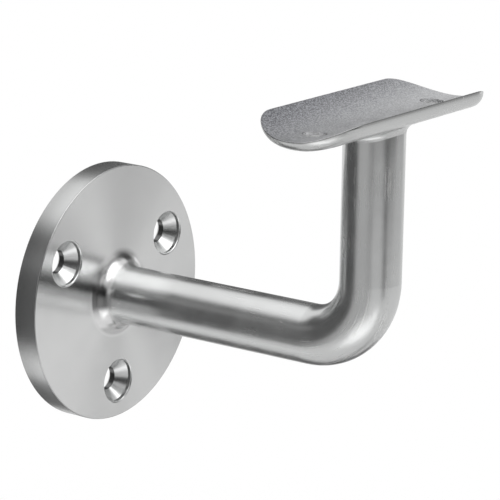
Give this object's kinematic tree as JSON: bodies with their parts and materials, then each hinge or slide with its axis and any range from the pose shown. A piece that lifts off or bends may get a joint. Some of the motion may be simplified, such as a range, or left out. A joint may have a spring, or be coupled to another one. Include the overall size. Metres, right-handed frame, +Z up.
{
  "type": "handrail bracket",
  "caption": "Wall bracket for a round handrail: a screwed round plate, a rod bent upwards and a thin curved saddle that the rail lies in.",
  "frame": {"origin": "centre of the round plate's wall face", "axes": "+Y into the wall, +Z up, the arm leaves the wall along -Y and the rail runs along X"},
  "size_m": [0.0754, 0.1014, 0.0983],
  "materials": {
    "stainless": "satin cast stainless steel, the rail seat left matt and grainy"
  },
  "bodies": {
    "root": {"bracket_casting": "stainless"}
  },
  "joints": []
}
